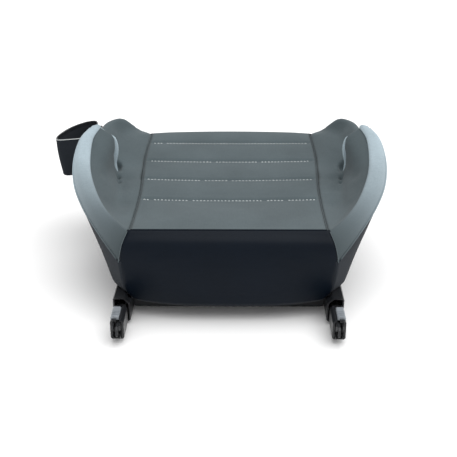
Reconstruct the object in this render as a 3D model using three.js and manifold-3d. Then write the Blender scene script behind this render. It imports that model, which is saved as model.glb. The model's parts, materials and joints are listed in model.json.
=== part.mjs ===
// Backless booster seat with padded cover, soft cup holder and two sliding lower-anchorage connectors.
// Millimetres. +X to the right, +Y to the front of the seat, +Z up.
// The origin is the centre of the flat underside, and x = 0 is the plane of symmetry.
import * as THREE from 'three';
import { mergeVertices } from 'three/addons/utils/BufferGeometryUtils.js';
import Module from 'manifold-3d';

const wasm = await Module();
wasm.setup();

// ---- driving dimensions ----
const GAP = 0.3;
const PAN_TOP = 88;
const SHELL_FOOT = 48;
const HEM = 38;
const COVER = 4;
const WING = 4;
const BAND = 5;
const BAND_BULGE = 5;
const BULGE_TAPER = 0.22;
const PAD_FOOT_INSET = 24;
const PAD_ACROSS = 9;
const PANEL = 10;
const FACING = 3;
const CUSHION_REAR = -164;
const CUSHION_FRONT = 182;
const CUSHION_DISH = 2;
const PAN_REAR = -166;
const PAN_FRONT = 166;
const SHELL_WALL = 3;
const SLOT_INNER = 161;
const SLOT_REAR = 34;
const SLOT_FRONT = 57;
const SLOT_FLOOR = 129;
const BASE_HALF_WIDTH = 152;
const BASE_WALL = 2.5;
const PLATE = 3;
const PLATE_REAR = -142;
const PLATE_FRONT = 156;
const CONNECTOR_X = 140;
const CONNECTOR_Z = 19;
const ARM_WIDTH = 10;
const ARM_HEIGHT = 16;
const JAW_TIP = -251;
const JAW_ROOT = -216;
const MOUTH_END = -238;
const HOOK_PIVOT = [-230, 24];
const SLEEVE_REAR = -239;
const SLEEVE_FRONT = -199;
const LEVER_PIVOT = [95, 15];
const CUP_HINGE = [-210.5, 166];
const CUP_RIVETS = [118, 138];
const CUP_RIVET_Z = 145;
const BRACKET_OUTER = -206.3;
const RIVET = 2;
const HOOP = 5;
const CUP_DEPTH = 62;
const CUP_WALL = 2.5;
const FOOT_RADIUS = 13;
const GUIDE_INNER = 129;
const GUIDE_TOP = 37.8;
const GUIDE_REAR = -190;
const GUIDE_FRONT = -125;
const ARM_FRONT = -50;
const SLIDE_BAR_BOTTOM = 25.3;
const SLIDE_BAR_THICKNESS = 2;
const SLIDE_BAR_FRONT = 52;
const SLIDE_BAR_HALF_WIDTH = 12;
const SHOE_Y = 40;
const SHOE_REACH = 9;
const CUP_CENTRE = [-238, 126];
const CUP_HINGE_SIDE = -215.6;
const CUP_FLOOR_SCALE = [0.8, 0.9];
const CUP_LEAN = 4;
const MEET = 34;

// Each station is one cross-section of the right side, from the rear corner to the front corner.
// seam: edge of the centre cushion. valley: lowest line beside it. wall, brow: the slope up to the
// crest. crest: inner edge of the rim. rim: outer edge of the rim. belly: fullest line of the side.
// hem: lower edge of the cover.
const STATIONS = [
  { seam: [127.6, -164, 122], valley: [129, -164, 122], wall: [129.7, -164.3, 122.3],
    brow: [130.3, -164.7, 122.7], crest: [131, -165, 123],
    rim: [142, -181, 86], belly: [140, -178, 62], hem: [137, -172, HEM] },
  { seam: [127.6, -131, 120], valley: [142, -131, 121.5], wall: [149.5, -131, 124],
    brow: [155.5, -131, 129.3], crest: [160, -131, 135.5],
    rim: [173, -140, 108], belly: [166, -137, 74], hem: [155, -146, HEM] },
  { seam: [127.5, -96, 119.5], valley: [147, -96, 119.5], wall: [160.5, -96, 125],
    brow: [171, -96.5, 134.5], crest: [179, -97, 147],
    rim: [201, -95, 129], belly: [182, -98, 84], hem: [160, -104, HEM] },
  { seam: [127.4, -58, 119.7], valley: [152, -58, 119.5], wall: [169, -58, 130.5],
    brow: [183, -58, 147], crest: [194, -58, 165],
    rim: [217, -57, 148], belly: [191, -58, 92], hem: [163, -60, HEM] },
  { seam: [127.4, -22, 122.5], valley: [158, -22, 123], wall: [172, -22, 138],
    brow: [184.5, -22, 160], crest: [200, -22, 179],
    rim: [221.5, -22, 171], belly: [196, -20, 98], hem: [164, -20, HEM] },
  { seam: [128.4, 6, 125], valley: [162, 6, 126.5], wall: [171.5, 6, 142],
    brow: [178, 6, 174], crest: [199, 6, 197],
    rim: [215, 6, 193], belly: [198, 8, 100], hem: [164, 10, HEM] },
  { seam: [129.5, 33, 128], valley: [164, 33, 129.5], wall: [169.5, 33, 146],
    brow: [169, 33, 186], crest: [191.5, 33, 206.5],
    rim: [202, 33, 203.5], belly: [197, 33.5, 101], hem: [164, 34, HEM] },
];
const FRONT_STATIONS = [
  { seam: [129.5, 34, 128], valley: [159, 34, 129.7], crest: [196, 50, 160],
    rim: [204, 50, 150], belly: [197, 37, 101], hem: [164, 36, HEM] },
  { seam: [131, 60, 130], valley: [153, 60, 135], crest: [195, 66, 175],
    rim: [206, 66, 164], belly: [195, 62, 100], hem: [164, 62, HEM] },
  { seam: [131.5, 92, 135], valley: [149, 92, 143], crest: [193, 95, 181],
    rim: [205, 95, 169], belly: [193, 95, 98], hem: [164, 95, HEM] },
  { seam: [130.5, 120, 140], valley: [146, 120, 149], crest: [187, 122, 184],
    rim: [200, 126, 170], belly: [188, 126, 94], hem: [162, 126, HEM] },
  { seam: [129, 142, 143.5], valley: [140, 143, 152], crest: [170, 144, 182],
    rim: [184, 154, 166], belly: [175, 154, 88], hem: [156, 152, HEM] },
  { seam: [128.2, 160, 145.5], valley: [133, 161, 152], crest: [150, 162, 161],
    rim: [160, 174, 142], belly: [157, 173, 84], hem: [146, 168, HEM] },
  { seam: [127.9, 174, 146.5], valley: [130, 175, 147], crest: [133, 176, 148],
    rim: [140, 186, 126], belly: [138, 184, 80], hem: [133, 176, HEM] },
];

// ---- geometry helpers ----
const lerp = (a, b, t) => a + (b - a) * t;
const mix = (p, q, t) => p.map((value, axis) => lerp(value, q[axis], t));
const shift = (p, dx, dy, dz) => [p[0] + dx, p[1] + dy, p[2] + dz];

function smoothLine(points) {
  const curve = new THREE.CatmullRomCurve3(points.map((p) => new THREE.Vector3(...p)), false, 'centripetal');
  return (t) => curve.getPoint(Math.min(Math.max(t, 0), 1)).toArray();
}

function rails(stations) {
  const lines = {};
  for (const key of Object.keys(stations[0])) {
    lines[key] = smoothLine(stations.map((station) => station[key]));
  }
  return lines;
}

function bare(geometry) {
  geometry.deleteAttribute('normal');
  geometry.deleteAttribute('uv');
  return mergeVertices(geometry, 1e-5);
}

function signedVolume(geometry) {
  const position = geometry.getAttribute('position');
  const index = geometry.index;
  const [a, b, c] = [new THREE.Vector3(), new THREE.Vector3(), new THREE.Vector3()];
  let volume = 0;
  for (let i = 0; i < index.count; i += 3) {
    a.fromBufferAttribute(position, index.getX(i));
    b.fromBufferAttribute(position, index.getX(i + 1));
    c.fromBufferAttribute(position, index.getX(i + 2));
    volume += a.dot(b.cross(c)) / 6;
  }
  return volume;
}

function faceOut(geometry) {
  if (signedVolume(geometry) < 0) geometry.index.array.reverse();
  return geometry;
}

// A block whose lower and upper faces follow the surfaces lower(u, v) and upper(u, v).
function block(lower, upper, acrossSteps, alongSteps) {
  const geometry = bare(new THREE.BoxGeometry(1, 1, 1, acrossSteps, alongSteps, 1));
  const position = geometry.getAttribute('position');
  for (let i = 0; i < position.count; i++) {
    const u = position.getX(i) + 0.5;
    const v = position.getY(i) + 0.5;
    const surface = position.getZ(i) < 0 ? lower : upper;
    position.setXYZ(i, ...surface(u, v));
  }
  return faceOut(geometry);
}

function mirrored(geometry) {
  return faceOut(geometry.clone().scale(-1, 1, 1));
}

function toSolid(geometry) {
  const clean = geometry.index && !geometry.getAttribute('uv') ? geometry : bare(geometry);
  const vertProperties = new Float32Array(clean.getAttribute('position').array);
  const triVerts = new Uint32Array(clean.index.array);
  return new wasm.Manifold(new wasm.Mesh({ numProp: 3, vertProperties, triVerts }));
}

function toGeometry(solid) {
  const mesh = solid.getMesh();
  const geometry = new THREE.BufferGeometry();
  geometry.setAttribute('position', new THREE.BufferAttribute(mesh.vertProperties, 3));
  geometry.setIndex(new THREE.BufferAttribute(mesh.triVerts, 1));
  return geometry;
}

function boxBetween(low, high) {
  const size = high.map((value, axis) => value - low[axis]);
  const centre = high.map((value, axis) => (value + low[axis]) / 2);
  return bare(new THREE.BoxGeometry(...size)).translate(...centre);
}

// Cuts the tools away and keeps the main body, dropping any loose sliver at the edge of a cut.
function cut(geometry, ...tools) {
  const solid = tools.reduce((rest, tool) => rest.subtract(toSolid(tool)), toSolid(geometry));
  const bodies = solid.decompose().sort((a, b) => b.volume() - a.volume());
  return toGeometry(bodies[0]);
}

function join(geometry, ...others) {
  const solid = others.reduce((rest, other) => rest.add(toSolid(other)), toSolid(geometry));
  return toGeometry(solid);
}

function outline(points) {
  return new THREE.Shape(points.map(([a, b]) => new THREE.Vector2(a, b)));
}

function roundedOutline(left, low, right, high, radius) {
  const shape = new THREE.Shape();
  shape.moveTo(left + radius, low);
  shape.lineTo(right - radius, low);
  shape.absarc(right - radius, low + radius, radius, -Math.PI / 2, 0, false);
  shape.absarc(right - radius, high - radius, radius, 0, Math.PI / 2, false);
  shape.absarc(left + radius, high - radius, radius, Math.PI / 2, Math.PI, false);
  shape.absarc(left + radius, low + radius, radius, Math.PI, Math.PI * 1.5, false);
  return shape;
}

// Extrudes an outline of [x, y] points upwards from z = low.
function plate(shape, low, high, curveSegments = 6) {
  const options = { depth: high - low, bevelEnabled: false, curveSegments };
  return bare(new THREE.ExtrudeGeometry(shape, options)).translate(0, 0, low);
}

// Extrudes an outline of [y, z] points along x.
function sidePlate(shape, low, high, curveSegments = 6) {
  return plate(shape, low, high, curveSegments).rotateY(Math.PI / 2).rotateX(Math.PI / 2);
}

// Extrudes an outline of [x, z] points along y, from the low value to the high one.
function crossPlate(shape, low, high, curveSegments = 6) {
  return plate(shape, -high, -low, curveSegments).rotateX(Math.PI / 2);
}

function rod(radius, from, to, sides = 16) {
  const [start, end] = [new THREE.Vector3(...from), new THREE.Vector3(...to)];
  const axis = end.clone().sub(start);
  const geometry = bare(new THREE.CylinderGeometry(radius, radius, axis.length(), sides));
  const upright = new THREE.Vector3(0, 1, 0);
  const turn = new THREE.Quaternion().setFromUnitVectors(upright, axis.clone().normalize());
  const centre = start.add(end).multiplyScalar(0.5);
  return geometry.applyQuaternion(turn).translate(centre.x, centre.y, centre.z);
}

class Coil extends THREE.Curve {
  constructor(centre, radius, height, turns, along) {
    super();
    Object.assign(this, { centre, radius, height, turns, along });
  }

  getPoint(t) {
    const angle = t * this.turns * Math.PI * 2;
    const ring = [Math.cos(angle) * this.radius, Math.sin(angle) * this.radius, t * this.height];
    const point = this.along === 'x' ? [ring[2], ring[0], ring[1]] : ring;
    return new THREE.Vector3(...point.map((value, axis) => value + this.centre[axis]));
  }
}

function spring(centre, radius, height, turns, wire, along) {
  const section = new THREE.Shape().absarc(0, 0, wire / 2, 0, Math.PI * 2, false);
  const extrudePath = new Coil(centre, radius, height, turns, along);
  const options = { steps: Math.round(turns * 9), curveSegments: 2, extrudePath };
  return faceOut(bare(new THREE.ExtrudeGeometry(section, options)));
}

// ---- materials ----
function material(color, roughness, metalness = 0) {
  return new THREE.MeshStandardMaterial({ color, roughness, metalness });
}
const GREY_FABRIC = material(0x646e73, 0.95);
const BLACK_FABRIC = material(0x1b222a, 0.9);
const LIGHT_FABRIC = material(0xb0c4cc, 0.9);
const CHARCOAL_FABRIC = material(0x484c50, 0.95);
const BLACK_PLASTIC = material(0x15181b, 0.35);
const DARK_PLASTIC = material(0x2b2e31, 0.5);
const SILVER_PLASTIC = material(0x9aa2aa, 0.35, 0.4);
const STEEL = material(0xa8abae, 0.35, 1);
const BLACK_STEEL = material(0x1c1e20, 0.4, 0.8);
const RUBBER = material(0x202224, 0.9);

const seat = new THREE.Group();

function add(name, geometry, finish) {
  const mesh = new THREE.Mesh(geometry, finish);
  mesh.name = name;
  seat.add(mesh);
}

// Adds a piece made for the right side, and its mirror image on the left.
function addPair(name, geometry, finish) {
  add(`${name}_right`, geometry, finish);
  add(`${name}_left`, mirrored(geometry), finish);
}

// ---- padded cover: sides ----
const rear = rails(STATIONS);
const front = rails(FRONT_STATIONS);
const slotTool = boxBetween([SLOT_INNER, SLOT_REAR, SLOT_FLOOR], [260, SLOT_FRONT, 260]);

// The point of a rail ("seam", "belly" and so on) at a distance y along the seat.
function railAt(key, y) {
  const line = y < MEET ? rear[key] : front[key];
  let [low, high] = [0, 1];
  for (let i = 0; i < 24; i++) {
    const middle = (low + high) / 2;
    if (line(middle)[1] < y) low = middle;
    else high = middle;
  }
  return line(low);
}

// ---- padded cover: rear and front panels ----
const REAR_CENTRE = smoothLine([
  [0, -184, 21.5], [0, -190, 50], [0, -189, 86], [0, -178, 114], [0, -164, 122.5],
]);
const REAR_EDGE = smoothLine([[125, -170, 24], [137, -172, 38], [140, -178, 62], [142, -181, 86],
  [138, -177, 108], [131, -165, 122.5]]);
const FRONT_CENTRE = smoothLine([[0, 176, 27], [0, 187, 60], [0, 191, 105], [0, 190, 136], [0, 182, 148]]);
const FRONT_EDGE = smoothLine([
  [124, 173, 27], [133, 177, 38], [138, 184, 80], [140, 186, 126], [133, 177, 148],
]);

// A padded panel, full in the middle and pulled in at its side edges.
function panelSkin(centre, edge, inset, drop) {
  return (u, v) => {
    const side = 2 * u - 1;
    const [middle, end] = [centre(v), edge(v)];
    const point = mix(middle, end, Math.abs(side) ** 3);
    return [side * end[0], point[1] + inset * lerp(1, 0.4, v), point[2] - drop * v];
  };
}

function panel(centre, edge, thickness) {
  return block(panelSkin(centre, edge, thickness, 4), panelSkin(centre, edge, 0, 0), 12, 8);
}

// The panel's space with a margin all round, for trimming its neighbours.
function panelTool(centre, edge, thickness) {
  const margin = Math.sign(thickness) * 2 * GAP;
  const outside = panelSkin(centre, edge, -10 * margin, -2.5);
  const [deep, shallow] = [4.8, 2].map((drop) => {
    const inside = panelSkin(centre, edge, thickness + 5 * margin, drop);
    return block(inside, outside, 12, 8).scale(1.005, 1, 1);
  });
  return join(deep, shallow);
}
const rearTool = panelTool(REAR_CENTRE, REAR_EDGE, PANEL);
const frontTool = panelTool(FRONT_CENTRE, FRONT_EDGE, -PANEL);
add('rear_panel', panel(REAR_CENTRE, REAR_EDGE, PANEL), BLACK_FABRIC);
add('front_panel', panel(FRONT_CENTRE, FRONT_EDGE, -PANEL), BLACK_FABRIC);

// ---- padded cover: centre cushion ----
function cushionTop(u, v) {
  const y = lerp(CUSHION_REAR, CUSHION_FRONT, v);
  const [halfWidth, , height] = railAt('seam', y);
  const side = 2 * u - 1;
  const dish = CUSHION_DISH * (1 - side ** 2) * Math.sin(Math.PI * v);
  return [side * (halfWidth - GAP), y, height - dish];
}

function cushionBottom(u, v) {
  const [x, y] = cushionTop(u, v);
  return [x, y, PAN_TOP + GAP];
}
add('seat_cushion', cut(block(cushionBottom, cushionTop, 8, 14), rearTool, frontTool), GREY_FABRIC);

// The outer skin of the side, from the hem (u = 0) over the belly to the rim (u = 1).
function sideSkin(line, inset, top = 1) {
  return (u, v) => {
    const across = smoothLine([line.hem(v), line.belly(v), line.rim(v)]);
    return shift(across(u * top), -inset, 0, 0);
  };
}

// The seat-facing skin, from the seam (u = 0) through the valley to the crest (u = 1).
function innerSkin(line) {
  return (u, v) => {
    const [valley, crest] = [line.valley(v), line.crest(v)];
    const slope = line.wall ? [line.wall(v), line.brow(v)] : [shift(mix(valley, crest, 0.5), 4, 0, -4)];
    return smoothLine([shift(line.seam(v), GAP, 0, 0), valley, ...slope, crest])(u);
  };
}

// Underside of the padding: flat on the pan, then up the inner face of the wing.
function padBottom(line) {
  return (u, v) => {
    const [seam, crest, belly] = [line.seam(v), line.crest(v), line.belly(v)];
    const foot = [Math.max(belly[0] - PAD_FOOT_INSET, seam[0] + 4), crest[1], PAN_TOP + GAP];
    const top = shift(crest, 1.5, 0, -9);
    const bend = 0.55;
    if (u < bend) return mix([seam[0] + GAP, seam[1], PAN_TOP + GAP], foot, u / bend);
    return mix(foot, top, (u - bend) / (1 - bend));
  };
}

// The trim over the rim. A positive inset sinks the surface below the cover's skin.
function bandSkin(inset) {
  return (u, v) => {
    const [crest, rim] = [rear.crest(v), rear.rim(v)];
    const taper = Math.min(1, (1 - v) / BULGE_TAPER);
    const bulge = BAND_BULGE * Math.sin(Math.PI * Math.min(v * 3, 1) / 2) * taper;
    const middle = shift(mix(crest, rim, 0.5), bulge * 0.5, 0, bulge);
    return shift(smoothLine([crest, middle, rim])(u), -inset * 0.6, 0, -inset * 0.8);
  };
}
const bandTool = block(bandSkin(BAND + GAP), bandSkin(-12), 4, 14);
const rearSideTool = block(sideSkin(rear, COVER + GAP), sideSkin(rear, -20), 6, 12);
addPair('band', cut(block(bandSkin(BAND), bandSkin(0), 4, 14), rearTool), LIGHT_FABRIC);

const rearPad = block(padBottom(rear), innerSkin(rear), PAD_ACROSS, 12);
addPair('armrest_pad', cut(rearPad, bandTool, rearTool, rearSideTool), GREY_FABRIC);
const frontPad = block(padBottom(front), innerSkin(front), PAD_ACROSS, 12);
addPair('front_bolster', cut(frontPad, slotTool, frontTool), GREY_FABRIC);

const rearSide = block(sideSkin(rear, COVER), sideSkin(rear, 0), 6, 12);
addPair('side_panel', cut(rearSide, bandTool, rearTool), CHARCOAL_FABRIC);
const frontSide = cut(block(sideSkin(front, COVER, 0.985), sideSkin(front, 0, 0.985), 6, 10), frontTool);
const rivetHole = (y) => rod(RIVET + GAP, [-215, y, CUP_RIVET_Z], [-190, y, CUP_RIVET_Z], 10);
add('front_side_panel_right', frontSide, CHARCOAL_FABRIC);
add('front_side_panel_left', cut(mirrored(frontSide), ...CUP_RIVETS.map(rivetHole)), CHARCOAL_FABRIC);

// The light facing on the front end of each armrest, beside the belt slot.
function endFacing(skin, from, to) {
  return (u, v) => {
    const [x, , z] = skin(lerp(from, to, u), 1);
    return [x, lerp(SLOT_REAR + GAP, SLOT_REAR + GAP + FACING, v), z];
  };
}
const facing = block(endFacing(innerSkin(rear), 0.3, 0.97), endFacing(sideSkin(rear, 1), 0.66, 0.97), 8, 1);
addPair('armrest_end', facing, LIGHT_FABRIC);

// ---- moulded seat shell: pan with two side wings ----
function panBlock(inset, low, high) {
  const level = (z) => (u, v) => {
    const y = lerp(PAN_REAR + inset, PAN_FRONT - inset, v);
    const foot = railAt('hem', y)[0] - 10;
    const top = railAt('belly', y)[0] - PAD_FOOT_INSET + 2;
    const reach = lerp(foot, top, (z - SHELL_FOOT) / (PAN_TOP - SHELL_FOOT)) - inset;
    return [(2 * u - 1) * reach, y, z];
  };
  return block(level(low), level(high), 2, 12);
}

function wingSkin(line, outwards) {
  return (u, v) => {
    const along = lerp(0.05, 1, v);
    const [crest, belly, seam] = [line.crest(along), line.belly(along), line.seam(along)];
    const foot = [Math.max(belly[0] - PAD_FOOT_INSET - 5, seam[0] + 6), belly[1], PAN_TOP - 14];
    const top = shift(crest, 1.5, 0, -15);
    return shift(mix(foot, top, u), outwards, 0, 0);
  };
}

function wing(line) {
  const sheet = block(wingSkin(line, 0.6), wingSkin(line, 0.6 + WING), 3, 10);
  const padTool = block(shifted(padBottom(line), 0.6, -GAP), shifted(innerSkin(line), -8, 8), PAD_ACROSS, 12);
  const sideTool = block(sideSkin(line, COVER + 2 * GAP), sideSkin(line, -30), 6, 12);
  return cut(sheet, padTool, sideTool, bandTool, slotCutter, rearTool, frontTool);
}

function shifted(surface, dx, dz) {
  return (u, v) => shift(surface(u, v), dx, 0, dz);
}
const slotCutter = boxBetween([SLOT_INNER - 3, SLOT_REAR - 3, SLOT_FLOOR - 8], [260, SLOT_FRONT + 3, 260]);
const panHollow = panBlock(SHELL_WALL, SHELL_FOOT - 1, PAN_TOP - SHELL_WALL);
const pan = cut(panBlock(0, SHELL_FOOT + GAP, PAN_TOP), panHollow);
const wings = [wing(rear), wing(front)];
add('seat_shell', join(pan, ...wings, ...wings.map(mirrored)), DARK_PLASTIC);

// ---- base: tub, bottom plate, feet and screws ----
function baseBlock(inset, low, high) {
  const level = (z) => (u, v) => {
    const share = z / SHELL_FOOT;
    const rearEnd = lerp(PLATE_REAR - 2, -168, share) + inset;
    const frontEnd = lerp(PLATE_FRONT + 2, 162, share) - inset;
    const corner = 20 * Math.max(Math.abs(2 * v - 1) - 0.8, 0) / 0.2;
    return [(2 * u - 1) * (BASE_HALF_WIDTH - inset - corner), lerp(rearEnd, frontEnd, v), z];
  };
  return block(level(low), level(high), 2, 10);
}
const guideNotch = (side) => boxBetween(
  [side > 0 ? GUIDE_INNER - GAP : -180, -200, -1],
  [side > 0 ? 180 : GAP - GUIDE_INNER, GUIDE_FRONT + GAP, GUIDE_TOP + GAP],
);
const armRun = (side) => boxBetween(
  side > 0 ? [CONNECTOR_X - 7, -200, 9] : [-CONNECTOR_X - 7, -200, 9],
  side > 0 ? [CONNECTOR_X + 7, 20, 29] : [-CONNECTOR_X + 7, 20, 29],
);
const gripNotch = boxBetween([-38, 140, -1], [38, 200, 30]);
const tub = cut(
  baseBlock(0, PLATE + GAP, SHELL_FOOT),
  baseBlock(BASE_WALL, PLATE - 1, SHELL_FOOT - BASE_WALL),
  guideNotch(1), guideNotch(-1), armRun(1), armRun(-1), gripNotch,
);
const bossSpots = [[-100, -120], [100, -120], [-100, 40], [100, 40], [-100, 130], [100, 130]];
const footSpots = [[-112, -100], [112, -100], [-112, 110], [112, 110]];
const bosses = bossSpots.map(([x, y]) => rod(5, [x, y, PLATE + GAP], [x, y, SHELL_FOOT - 1], 8));
const bossHoles = bossSpots.map(([x, y]) => rod(2.3, [x, y, 0], [x, y, 20], 8));
add('base_shell', cut(join(tub, ...bosses), ...bossHoles), DARK_PLASTIC);

const screwHoles = bossSpots.flatMap(([x, y]) => [
  rod(2.3, [x, y, -1], [x, y, PLATE + 1], 8),
  rod(4.8, [x, y, -1], [x, y, 1.8], 8),
]);
const footHoles = footSpots.map(([x, y]) => rod(FOOT_RADIUS + GAP, [x, y, -1], [x, y, PLATE + 1], 16));
const plateShape = roundedOutline(-BASE_HALF_WIDTH + 8, PLATE_REAR, BASE_HALF_WIDTH - 8, PLATE_FRONT, 24);
const gripOpening = boxBetween([-38, 140, -1], [38, 200, PLATE + 1]);
const guideClearance = [1, -1].map(guideNotch);
const plateHoles = [...screwHoles, ...footHoles, gripOpening, ...guideClearance];
add('base_plate', cut(plate(plateShape, 0, PLATE), ...plateHoles), DARK_PLASTIC);
footSpots.forEach(([x, y], i) => {
  const pad = rod(FOOT_RADIUS, [x, y, 0], [x, y, PLATE + GAP + 0.01], 16);
  const flange = rod(FOOT_RADIUS + 3, [x, y, PLATE + GAP], [x, y, PLATE + GAP + 1.5], 16);
  add(`foot_pad_${i + 1}`, join(pad, flange), RUBBER);
});
bossSpots.forEach(([x, y], i) => {
  const head = rod(4.4, [x, y, 0.4], [x, y, 1.4], 8);
  const socket = rod(1.6, [x, y, 0], [x, y, 1], 6);
  const shank = rod(2, [x, y, 1.3], [x, y, 18], 8);
  add(`base_screw_${i + 1}`, cut(join(head, shank), socket), STEEL);
});

// ---- lower-anchorage frame ----
const armSection = [CONNECTOR_X - ARM_WIDTH / 2, CONNECTOR_X + ARM_WIDTH / 2];
const armLevels = [CONNECTOR_Z - ARM_HEIGHT / 2, CONNECTOR_Z + ARM_HEIGHT / 2];
const guideOutline = outline([
  [131.5, 3.6], [148.5, 3.6], [151, 6], [151, 36], [149.5, 37.8], [136, 37.8], [129, 30.5], [129, 6],
]);
const passageOutline = outline([
  [132.6, 5.3], [147.4, 5.3], [149.2, 7.2], [149.2, 36.1],
  [136.8, 36.1], [136.8, 35.2], [130.8, 29.4], [130.8, 7.2],
]);
const passage = crossPlate(passageOutline, GUIDE_REAR - 1, GUIDE_FRONT + 1);
const guide = cut(crossPlate(guideOutline, GUIDE_REAR, GUIDE_FRONT), passage, rearTool);
addPair('rail_guide', guide, BLACK_PLASTIC);

const arm = boxBetween([armSection[0], JAW_ROOT + 2, armLevels[0]], [armSection[1], ARM_FRONT, armLevels[1]]);
addPair('connector_arm', arm, STEEL);
const crossLength = CONNECTOR_X - ARM_WIDTH / 2 - GAP;
const crossY = ARM_FRONT - 12;
add('cross_bar', rod(6, [-crossLength, crossY, CONNECTOR_Z], [crossLength, crossY, CONNECTOR_Z]), STEEL);

const slideBar = boxBetween(
  [-SLIDE_BAR_HALF_WIDTH, crossY - 8, SLIDE_BAR_BOTTOM],
  [SLIDE_BAR_HALF_WIDTH, SLIDE_BAR_FRONT, SLIDE_BAR_BOTTOM + SLIDE_BAR_THICKNESS],
);
add('slide_bar', slideBar, STEEL);

const sleeveOutline = outline([
  [131.5, 8], [133.5, 6], [146.5, 6], [148.5, 8], [148.5, 30], [146.5, 32.5], [134.5, 32.5], [131.5, 29],
]);
const sleeveBlank = crossPlate(sleeveOutline, SLEEVE_REAR, SLEEVE_FRONT);
const jawCavity = boxBetween([134.3, -260, 7.6], [145.7, JAW_ROOT + 1, 30]);
const armSocket = boxBetween(
  [armSection[0] - GAP, JAW_ROOT, armLevels[0] - GAP],
  [armSection[1] + GAP, 0, armLevels[1] + GAP],
);
const buttonSlide = boxBetween([137.4, -234.5, 30.4], [160, -200, 40]);
const hookSwing = boxBetween([136.9, -260, 28], [140.7, -230.5, 40]);
addPair('connector_body', cut(sleeveBlank, jawCavity, armSocket, buttonSlide, hookSwing), BLACK_PLASTIC);

const [pivotY, pivotZ] = HOOK_PIVOT;
const jawSide = outline([
  [JAW_TIP, 13.2], [JAW_TIP + 2.5, 11.5], [-236, 10.5], [JAW_ROOT, 9], [JAW_ROOT, 29.5], [JAW_TIP + 3, 29.5],
  [JAW_TIP, 26.5], [JAW_TIP, 24.5], [JAW_TIP + 3, 23], [MOUTH_END, 23], [MOUTH_END, 15], [JAW_TIP + 3, 15],
  [JAW_TIP, 14.2],
]);
const jawPlates = [[134.8, 136.8], [143.2, 145.2]].map(([low, high]) => sidePlate(jawSide, low, high));
const jawWeb = boxBetween([136.5, -236, 9], [143.5, JAW_ROOT, 11]);
const pinHole = rod(2.3, [130, pivotY, pivotZ], [150, pivotY, pivotZ], 16);
addPair('jaw', cut(join(jawPlates[0], jawPlates[1], jawWeb), pinHole), BLACK_STEEL);
addPair('hook_pin', rod(2, [134.7, pivotY, pivotZ], [145.3, pivotY, pivotZ], 16), BLACK_STEEL);

const hookOutline = outline([
  [-225.8, 22.5], [-226.5, 27], [-229, 28.6], [-248, 28.6], [-252.5, 26], [-252.8, 17.5], [-250.5, 15.6],
  [-248.3, 19], [-247.6, 23.5], [-236.5, 23.5], [-233.5, 20.5], [-230, 19.4], [-227, 20.3],
]);
addPair('hook', cut(sidePlate(hookOutline, 137.3, 140.3), pinHole), BLACK_STEEL);
addPair('hook_spring', spring([141, pivotY, pivotZ], 3.1, 1.6, 2, 0.7, 'x'), BLACK_STEEL);

const buttonOutline = outline([
  [137.8, 30.8], [148.3, 30.8], [148.3, 34], [147, 35.4], [139, 35.4], [137.8, 34.2],
]);
const button = crossPlate(buttonOutline, -234, -208);
const grips = [-229, -225, -221].map((y) => boxBetween([136, y, 34.6], [150, y + 1.4, 40]));
addPair('release_button', cut(button, ...grips), SILVER_PLASTIC);

// ---- adjuster lever under the front edge ----
const [leverY, leverZ] = LEVER_PIVOT;
const shoeTop = SLIDE_BAR_BOTTOM - GAP;
const leverSide = outline([
  [168, 8], [168, 14], [160, 17.5], [leverY + 8, 19], [leverY, 20.5], [leverY - 8, 19],
  [SHOE_Y + SHOE_REACH + 4, 17], [SHOE_Y + SHOE_REACH, shoeTop], [SHOE_Y - SHOE_REACH, shoeTop],
  [SHOE_Y - SHOE_REACH, 13.2], [leverY - 10, 12.2], [leverY, 9.5], [leverY + 10, 11.5], [155, 10],
]);
const leverGrip = boxBetween([-30, 150, 8.5], [30, 168, 13.5]);
const leverHole = rod(3.3, [-20, leverY, leverZ], [20, leverY, leverZ], 20);
add('adjust_lever', cut(join(sidePlate(leverSide, -6, 6), leverGrip), leverHole), BLACK_PLASTIC);
add('lever_pin', rod(3, [-18, leverY, leverZ], [18, leverY, leverZ], 20), STEEL);
add('lever_spring', spring([0, 62, PLATE + GAP + 0.6], 4, 7.6, 4, 1, 'z'), STEEL);

// ---- cup holder on the left ----
const [cupHingeX, cupHingeZ] = CUP_HINGE;
const cupRim = cupHingeZ;
const cupFloor = cupRim - CUP_DEPTH;

// The mouth of the pouch seen from above: full at the near left corner, slimmer towards the front.
const cupMouth = new THREE.CatmullRomCurve3([
  [-215.6, 128], [-215.6, 150], [-215.6, 170], [-221, 183], [-231, 181], [-244, 167], [-256, 146],
  [-264.5, 120], [-268.5, 94], [-265, 82], [-246, 84.5], [-228, 90.5], [-217, 98], [-215.6, 112],
].map(([x, y]) => new THREE.Vector3(x, y, 0)), true, 'centripetal');

function cupBlock(inset, low, high) {
  const level = (z) => {
    const share = (cupRim - z) / CUP_DEPTH;
    const [scaleX, scaleY] = CUP_FLOOR_SCALE.map((scale) => lerp(1, scale, share));
    return (u, v) => {
      const [a, b] = [2 * u - 1, 2 * v - 1];
      const [p, q] = [a * Math.sqrt(1 - b * b / 2), b * Math.sqrt(1 - a * a / 2)];
      const turn = Math.atan2(q, p) / (2 * Math.PI);
      const edge = cupMouth.getPoint(turn < 0 ? turn + 1 : turn);
      const [dx, dy] = [(edge.x - CUP_HINGE_SIDE) * scaleX, (edge.y - CUP_CENTRE[1]) * scaleY];
      const centreX = (CUP_CENTRE[0] - CUP_HINGE_SIDE) * scaleX;
      const reach = Math.hypot(dx - centreX, dy);
      const grow = Math.hypot(p, q) * (reach - inset) / reach;
      const x = CUP_HINGE_SIDE - CUP_LEAN * share + centreX + (dx - centreX) * grow;
      return [x, CUP_CENTRE[1] + dy * grow, z];
    };
  };
  return block(level(low), level(high), 8, 8);
}
const mouth = cupBlock(CUP_WALL, cupFloor + CUP_WALL, cupRim + 8);
const pouch = cut(cupBlock(0, cupFloor, cupRim - HOOP), mouth);
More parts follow.
